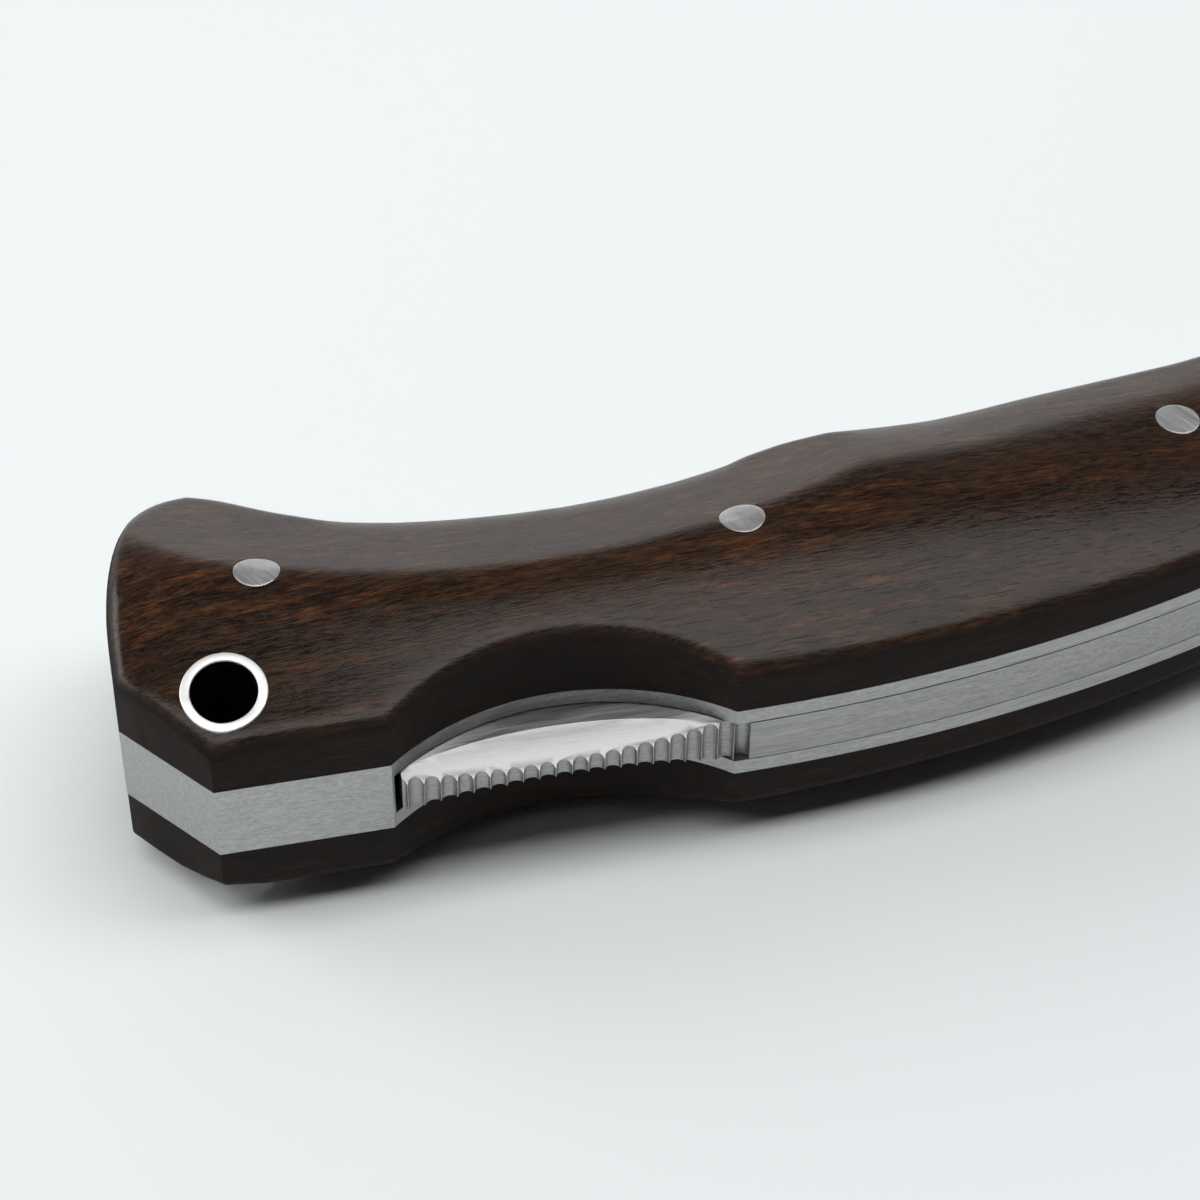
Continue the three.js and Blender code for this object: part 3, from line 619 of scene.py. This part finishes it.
def stretched_noise(tree, vector, stretch, detail=3.0, roughness=0.55, shift=(0, 0, 0)):
    """Noise with its own number of grains per millimetre along each axis."""
    mapping = node_in(tree, "ShaderNodeMapping")
    mapping.inputs["Scale"].default_value = [grains / MM for grains in stretch]
    mapping.inputs["Location"].default_value = shift
    link(tree, vector, mapping.inputs["Vector"])
    noise = node_in(tree, "ShaderNodeTexNoise")
    noise.inputs["Scale"].default_value = 1.0
    noise.inputs["Detail"].default_value = detail
    noise.inputs["Roughness"].default_value = roughness
    link(tree, mapping.outputs[0], noise.inputs["Vector"])
    return noise.outputs["Fac"]


def blend_colours(tree, mask, first, second):
    """The first colour where the mask is 0, and the second where it is 1."""
    made = node_in(tree, "ShaderNodeMix", data_type="RGBA")
    slots = {"Factor": made.inputs[0], "A": made.inputs[6], "B": made.inputs[7]}
    link(tree, mask, slots["Factor"])
    for key, value in (("A", first), ("B", second)):
        if isinstance(value, tuple):
            slots[key].default_value = (*value, 1.0)
        else:
            link(tree, value, slots[key])
    return made.outputs[2]


def bumped(tree, height, strength, depth):
    """The normal of a surface with a relief this many millimetres deep."""
    made = node_in(tree, "ShaderNodeBump")
    made.inputs["Strength"].default_value = strength
    made.inputs["Distance"].default_value = depth * MM
    link(tree, height, made.inputs["Height"])
    return made.outputs["Normal"]


def new_group(name):
    tree = bpy.data.node_groups.new(name, "ShaderNodeTree")
    group_socket(tree, "Vector", "INPUT", "NodeSocketVector")
    return tree


def brushing_group():
    """Fine parallel scratches along X of the vector that comes in."""
    tree = new_group("brushing")
    group_socket(tree, "Depth", "OUTPUT", "NodeSocketFloat")
    group_socket(tree, "Shade", "OUTPUT", "NodeSocketFloat")
    entry = node_in(tree, "NodeGroupInput", (-900, 0))
    leave = node_in(tree, "NodeGroupOutput", (600, 0))
    vector = entry.outputs["Vector"]
    fine = stretched_noise(tree, vector, (0.35, 16, 16), detail=2)
    coarse = stretched_noise(tree, vector, (0.12, 5, 5), detail=3, shift=(3, 7, 1))
    depth = maths(tree, "ADD", maths(tree, "MULTIPLY", fine, 0.6), maths(tree, "MULTIPLY", coarse, 0.4))
    link(tree, depth, leave.inputs["Depth"])
    link(tree, mapped(tree, depth, 0.3, 0.7), leave.inputs["Shade"])
    return tree


def figure_group():
    """Figure of a dark close hardwood along X: curly orange-brown streaks in patches, fine fibres."""
    tree = new_group("figure")
    for name in ("Band", "Streak", "Pore", "Fleck"):
        group_socket(tree, name, "OUTPUT", "NodeSocketFloat")
    entry = node_in(tree, "NodeGroupInput", (-1200, 0))
    leave = node_in(tree, "NodeGroupOutput", (900, 0))
    vector = curled(tree, entry.outputs["Vector"])
    band = stretched_noise(tree, vector, (0.05, 0.42, 0.42), detail=4, roughness=0.6)
    link(tree, mapped(tree, band, 0.38, 0.62), leave.inputs["Band"])
    broad = stretched_noise(tree, vector, (0.2, 1.5, 1.5), detail=5, roughness=0.7, shift=(5, 2, 9))
    narrow = stretched_noise(tree, vector, (0.9, 5.5, 5.5), detail=4, roughness=0.72, shift=(3, 6, 2))
    patch = stretched_noise(tree, vector, (0.045, 0.22, 0.22), detail=2, shift=(1, 8, 4))
    strong = mapped(tree, patch, 0.36, 0.6, 0.3, 1.0)
    cluster = mapped(tree, broad, 0.42, 0.66, 0.2, 1.0)
    fine = maths(tree, "MULTIPLY", mapped(tree, narrow, 0.47, 0.6), cluster)
    wide = maths(tree, "MULTIPLY", mapped(tree, broad, 0.46, 0.74), 0.4)
    both_widths = maths(tree, "ADD", wide, maths(tree, "MULTIPLY", fine, 0.62), clamp=True)
    link(tree, maths(tree, "MULTIPLY", both_widths, strong), leave.inputs["Streak"])
    pore = stretched_noise(tree, vector, (0.5, 6.5, 6.5), detail=3, shift=(2, 2, 6))
    link(tree, mapped(tree, pore, 0.56, 0.68), leave.inputs["Pore"])
    fleck = stretched_noise(tree, vector, (0.9, 7.5, 7.5), detail=3, roughness=0.75, shift=(8, 1, 3))
    link(tree, mapped(tree, fleck, 0.38, 0.66), leave.inputs["Fleck"])
    return tree


def curled(tree, vector):
    """The place on the wood, pushed a little sideways so that the grain waves."""
    mapping = node_in(tree, "ShaderNodeMapping")
    mapping.inputs["Scale"].default_value = CURLS_PER_METRE
    link(tree, vector, mapping.inputs["Vector"])
    noise = node_in(tree, "ShaderNodeTexNoise")
    noise.inputs["Scale"].default_value = 1.0
    noise.inputs["Detail"].default_value = 2.0
    link(tree, mapping.outputs[0], noise.inputs["Vector"])
    centred = node_in(tree, "ShaderNodeVectorMath", operation="SUBTRACT")
    link(tree, noise.outputs["Color"], centred.inputs[0])
    centred.inputs[1].default_value = (0.5, 0.5, 0.5)
    sideways = node_in(tree, "ShaderNodeVectorMath", operation="MULTIPLY")
    link(tree, centred.outputs[0], sideways.inputs[0])
    sideways.inputs[1].default_value = (0, CURL_REACH * MM, CURL_REACH * MM)
    moved = node_in(tree, "ShaderNodeVectorMath", operation="ADD")
    link(tree, vector, moved.inputs[0])
    link(tree, sideways.outputs[0], moved.inputs[1])
    return moved.outputs[0]


def new_material(name):
    material = bpy.data.materials.new(name)
    material.use_nodes = True
    tree = material.node_tree
    shader = tree.nodes["Principled BSDF"]
    return material, tree, shader


def object_vector(tree, turn=0.0):
    """The place on the object, turned about the upward axis by so many degrees."""
    place = node_in(tree, "ShaderNodeTexCoord", (-1400, 0))
    mapping = node_in(tree, "ShaderNodeMapping", (-1200, 0))
    mapping.inputs["Rotation"].default_value = (0, 0, math.radians(turn))
    link(tree, place.outputs["Object"], mapping.inputs["Vector"])
    return mapping.outputs[0]


def use_group(tree, group, vector):
    made = node_in(tree, "ShaderNodeGroup", (-900, 0), node_tree=group)
    link(tree, vector, made.inputs["Vector"])
    return made


def rosewood(figure):
    """Oiled dark wood: figure and pores on the crown; the steep walls and the rounded rim are rougher and
    carry painted shade, a plain near-black in place of the figure.
    """
    material, tree, shader = new_material("rosewood")
    grain = use_group(tree, figure, object_vector(tree, GRAIN_TURN))
    dark_ground = (0.0085, 0.0052, 0.0042)
    warm_ground = (0.021, 0.0115, 0.0078)
    ground = blend_colours(tree, grain.outputs["Band"], dark_ground, warm_ground)
    streaked = blend_colours(tree, grain.outputs["Streak"], ground, (0.13, 0.046, 0.0145))
    hairs = maths(tree, "MULTIPLY", grain.outputs["Fleck"], 0.36)
    flecked = blend_colours(tree, hairs, streaked, (0.075, 0.045, 0.029))
    pores = maths(tree, "MULTIPLY", grain.outputs["Pore"], 0.75)
    pored = blend_colours(tree, pores, flecked, (0.005, 0.0035, 0.003))
    facing = node_in(tree, "ShaderNodeTexCoord")
    parts = node_in(tree, "ShaderNodeSeparateXYZ")
    link(tree, facing.outputs["Normal"], parts.inputs[0])
    flatness = maths(tree, "ABSOLUTE", parts.outputs["Z"])
    # Painted shade: faces that turn to the side, the walls and the rounded rim, get a plain near-black
    # colour in place of the figure.
    wall = mapped(tree, flatness, *WALL_LEVELS, 1.0, 0.0)
    wall_shade_paint = maths(tree, "MULTIPLY", wall, WALL_PAINTED_SHADE)
    wood_with_wall_shade = blend_colours(tree, wall_shade_paint, pored, (0.006, 0.0048, 0.0042))
    link(tree, wood_with_wall_shade, shader.inputs["Base Color"])
    sheen = mapped(tree, grain.outputs["Fleck"], 0.0, 1.0, 0.13, 0.23)
    rough = maths(tree, "ADD", sheen, maths(tree, "MULTIPLY", wall, WALL_ROUGHNESS))
    link(tree, rough, shader.inputs["Roughness"])
    relief = maths(tree, "MULTIPLY", grain.outputs["Fleck"], 0.6)
    height = maths(tree, "SUBTRACT", relief, grain.outputs["Pore"])
    link(tree, bumped(tree, height, PORE_STRENGTH, PORE_DEPTH), shader.inputs["Normal"])
    shader.inputs["IOR"].default_value = WOOD_IOR
    shader.inputs["Specular IOR Level"].default_value = WOOD_SHINE
    return material


def brushed(name, dark, light, roughness, turn=0.0, depth=0.004, strength=0.4):
    """Metal with fine scratches along X, or turned from it."""
    material, tree, shader = new_material(name)
    lines = use_group(tree, brushing, object_vector(tree, turn))
    shade = lines.outputs["Shade"]
    link(tree, blend_colours(tree, shade, dark, light), shader.inputs["Base Color"])
    link(tree, mapped(tree, shade, 0, 1, *roughness), shader.inputs["Roughness"])
    link(tree, bumped(tree, lines.outputs["Depth"], strength, depth), shader.inputs["Normal"])
    shader.inputs["Metallic"].default_value = 1.0
    return material


def grey(level):
    return (level, level, level)


def give(piece, material):
    """Puts one material on a piece."""
    piece.data.materials.clear()
    piece.data.materials.append(material)


# Wood and the pieces that come through it
upper_form = wood_form("upper", 1)
forms = {"upper": upper_form, "lower": turned_over(upper_form, "lower_scale_form")}
both = {1: forms["upper"], -1: forms["lower"]}
worked = [flush_pin("butt_pin", both), flush_pin("pivot_pin", both)]
for half, way in (("upper", 1), ("lower", -1)):
    for place in ("middle", "front"):
        worked.append(flush_pin(f"{half}_{place}_rivet", {way: forms[half]}))
tube = flush_tube("lanyard_tube", both)
scales = [drilled_scale(forms[half], half) for half in ("upper", "lower")]

# Finishes
brushing = brushing_group()
wood = rosewood(figure_group())
satin = brushed("satin_steel", grey(0.3), grey(0.5), (0.3, 0.44))
bar_satin = brushed(
    "bar_satin_steel",
    (0.27, 0.27, 0.267),
    (0.48, 0.48, 0.475),
    (0.36, 0.5),
    turn=BACK_SLOPE,
)
spring = brushed("spring_steel", (0.3, 0.31, 0.33), (0.4, 0.41, 0.43), (0.35, 0.5))
blade_steel = brushed(
    "blade_steel",
    (0.52, 0.53, 0.54),
    (0.6, 0.61, 0.62),
    (0.3, 0.36),
    depth=0.002,
    strength=0.2,
)
polished = brushed(
    "polished_steel",
    grey(0.5),
    grey(0.68),
    (0.4, 0.52),
    turn=PIN_SCRATCH_TURN,
    strength=0.25,
)
nickel = brushed(
    "nickel_silver",
    (0.92, 0.92, 0.91),
    (0.97, 0.97, 0.96),
    (0.48, 0.56),
    depth=0.0006,
)
bronze = brushed("bronze", (0.4, 0.25, 0.1), (0.52, 0.35, 0.16), (0.35, 0.5))
# Painted shade: a near-black metal for the dark, unlit inside of the lanyard tube.
bore_shade_paint = brushed("bore_painted_shade", grey(0.008), (0.02, 0.02, 0.019), (0.5, 0.7))

for scale in scales:
    give(scale, wood)
for pin in worked:
    give(pin, polished)
give(tube, nickel)
# The faces of the bore take the painted shade.
tube.data.materials.append(bore_shade_paint)
bore_radius = radius_of("lanyard_tube") - TUBE_WALL * MM
tube_centre = middle_of("lanyard_tube")
for face in tube.data.polygons:
    away = math.hypot(face.center.x - tube_centre.x, face.center.y - tube_centre.y)
    if abs(face.normal.z) < WALL_TILT and away < bore_radius + BORE_MARGIN * MM:
        face.material_index = 1
for node in ("upper_liner", "lower_liner", "butt_spacer"):
    give(eased(node, "handle"), satin)
give(ground_lock_bar(), bar_satin)
give(eased("blade", "blade", degrees=BLADE_TURN), blade_steel)
give(eased("lock_spring", "handle", edge=INNER_EDGE), spring)
for node in ("upper_washer", "lower_washer"):
    give(eased(node, "handle"), bronze)
for node in ("lock_bar_pin", "spring_pin", "stop_pin"):
    give(eased(node, "handle", edge=INNER_EDGE), polished)

# Floor: pale, with painted shade that darkens it a little towards the front right where the light falls
# off, and seen far off as one with the room
FLOOR_SIZE = 6
FLOOR_SHADE_TURN = 69
FLOOR_SHADE_REACH = 0.07
FLOOR_CLOUDS = (0.02, 0.02, 0.02)
FLOOR_NEAR_AND_FAR = (0.15, 0.7)
PALE_ROOM = (0.86, 0.89, 0.885, 1)

bpy.ops.object.select_all(action="DESELECT")
bpy.ops.mesh.primitive_plane_add(size=FLOOR_SIZE, location=(0, 0, 0))
floor = bpy.context.object
floor.name = "floor"
floor_material, floor_tree, floor_shader = new_material("pale_floor")
across = node_in(floor_tree, "ShaderNodeSeparateXYZ")
link(floor_tree, object_vector(floor_tree, FLOOR_SHADE_TURN), across.inputs[0])
# Painted shade: the floor's colour darkens towards the front right, as the light falls off.
painted_floor_falloff = mapped(floor_tree, across.outputs["X"], -FLOOR_SHADE_REACH, FLOOR_SHADE_REACH)
cloud = stretched_noise(floor_tree, object_vector(floor_tree), FLOOR_CLOUDS, detail=2)
faint_cloud = maths(floor_tree, "MULTIPLY", cloud, 0.1)
spread = maths(floor_tree, "ADD", painted_floor_falloff, faint_cloud)
floor_colour = blend_colours(floor_tree, spread, (0.845, 0.875, 0.868), (0.795, 0.815, 0.82))
link(floor_tree, floor_colour, floor_shader.inputs["Base Color"])
floor_shader.inputs["Roughness"].default_value = 0.6
floor_shader.inputs["Specular IOR Level"].default_value = 0.2
backdrop = node_in(floor_tree, "ShaderNodeEmission")
backdrop.inputs["Color"].default_value = PALE_ROOM
floor_place = node_in(floor_tree, "ShaderNodeTexCoord")
away_from_knife = node_in(floor_tree, "ShaderNodeVectorMath", operation="LENGTH")
link(floor_tree, floor_place.outputs["Object"], away_from_knife.inputs[0])
far_off = mapped(floor_tree, away_from_knife.outputs["Value"], *FLOOR_NEAR_AND_FAR)
floor_rays = node_in(floor_tree, "ShaderNodeLightPath")
seen_far = maths(floor_tree, "MULTIPLY", far_off, floor_rays.outputs["Is Camera Ray"])
near_or_far = node_in(floor_tree, "ShaderNodeMixShader")
link(floor_tree, seen_far, near_or_far.inputs[0])
link(floor_tree, floor_shader.outputs[0], near_or_far.inputs[1])
link(floor_tree, backdrop.outputs[0], near_or_far.inputs[2])
link(floor_tree, near_or_far.outputs[0], floor_tree.nodes["Material Output"].inputs["Surface"])
floor.data.materials.append(floor_material)

# Room light: soft fill that is stronger behind, and a low bright strip behind for metal and oil to mirror
FILL_FRONT_AND_BEHIND = (0.02, 0.56)
STRIP_LOW_AND_HIGH = (0.6, 0.05)
STRIP_FRONT_AND_BEHIND = (0.13, 1.0)

world = bpy.data.worlds.new("studio")
bpy.context.scene.world = world
world.use_nodes = True
sky = world.node_tree
fill = sky.nodes["Background"]
fill.inputs["Color"].default_value = (0.92, 0.96, 1.0, 1)
seen = node_in(sky, "ShaderNodeBackground")
seen.inputs["Color"].default_value = PALE_ROOM
mirrored_room = node_in(sky, "ShaderNodeBackground")
mirrored_room.inputs["Color"].default_value = (0.96, 0.98, 1.0, 1)
direction = node_in(sky, "ShaderNodeTexCoord")
ways = node_in(sky, "ShaderNodeSeparateXYZ")
link(sky, direction.outputs["Generated"], ways.inputs[0])
fill_strength = mapped(sky, ways.outputs["Y"], -0.4, 0.5, *FILL_FRONT_AND_BEHIND)
link(sky, fill_strength, fill.inputs["Strength"])
low_strip = mapped(sky, ways.outputs["Z"], 0.22, 0.55, *STRIP_LOW_AND_HIGH)
behind = mapped(sky, ways.outputs["Y"], -0.2, 0.45, *STRIP_FRONT_AND_BEHIND)
link(sky, maths(sky, "MULTIPLY", low_strip, behind), mirrored_room.inputs["Strength"])
rays = node_in(sky, "ShaderNodeLightPath")
plain_or_mirror = node_in(sky, "ShaderNodeMixShader")
link(sky, rays.outputs["Is Glossy Ray"], plain_or_mirror.inputs[0])
link(sky, fill.outputs[0], plain_or_mirror.inputs[1])
link(sky, mirrored_room.outputs[0], plain_or_mirror.inputs[2])
through = maths(sky, "MAXIMUM", rays.outputs["Is Camera Ray"], rays.outputs["Is Transmission Ray"])
with_view = node_in(sky, "ShaderNodeMixShader")
link(sky, through, with_view.inputs[0])
link(sky, plain_or_mirror.outputs[0], with_view.inputs[1])
link(sky, seen.outputs[0], with_view.inputs[2])
link(sky, with_view.outputs[0], sky.nodes["World Output"].inputs["Surface"])


def softbox(name, size, place, power, turn=0):
    """A flat lamp that the camera doesn't see, aimed at the knife and turned about its own axis."""
    data = bpy.data.lights.new(name, "AREA")
    data.shape = "RECTANGLE"
    data.size, data.size_y = size
    data.energy = power
    lamp = bpy.data.objects.new(name, data)
    bpy.context.scene.collection.objects.link(lamp)
    lamp.visible_camera = False
    lamp.location = place
    lamp.rotation_mode = "QUATERNION"
    facing = (-Vector(place)).to_track_quat("-Z", "Y")
    lamp.rotation_quaternion = facing @ Quaternion((0, 0, 1), math.radians(turn))


softbox("overhead", (2.2, 0.5), (0.0, -0.08, 1.0), 11.4, turn=-8)
softbox("low_behind", (2.0, 0.35), (0.8, 1.1, 0.3), 1.9)
softbox("left", (0.8, 0.5), (-0.85, 0.85, 0.6), 5.0)

# Camera, placed from the middle of the lanyard tube
CAMERA_FROM_TUBE = (-31.626, -120.128, 134.886)
CAMERA_FORWARD = (0.2893, 0.6498, -0.7029)
CAMERA_LEVEL = (0.9135, -0.4067, 0)
CAMERA_ROLL = math.radians(-0.54)
CAMERA_LENS = 100
CAMERA_SENSOR = 36

forward = Vector(CAMERA_FORWARD).normalized()
level = Vector(CAMERA_LEVEL).normalized()
down = forward.cross(level)
right = level * math.cos(CAMERA_ROLL) + down * math.sin(CAMERA_ROLL)
up = level * math.sin(CAMERA_ROLL) - down * math.cos(CAMERA_ROLL)
camera_data = bpy.data.cameras.new("camera")
camera_data.lens = CAMERA_LENS
camera_data.sensor_width = CAMERA_SENSOR
camera = bpy.data.objects.new("camera", camera_data)
bpy.context.scene.collection.objects.link(camera)
camera_place = tube_centre + Vector(CAMERA_FROM_TUBE) * MM
turned = Matrix((right, up, -forward)).transposed().to_4x4()
camera.matrix_world = Matrix.Translation(camera_place) @ turned
bpy.context.scene.camera = camera

bpy.context.scene.view_settings.view_transform = "Standard"
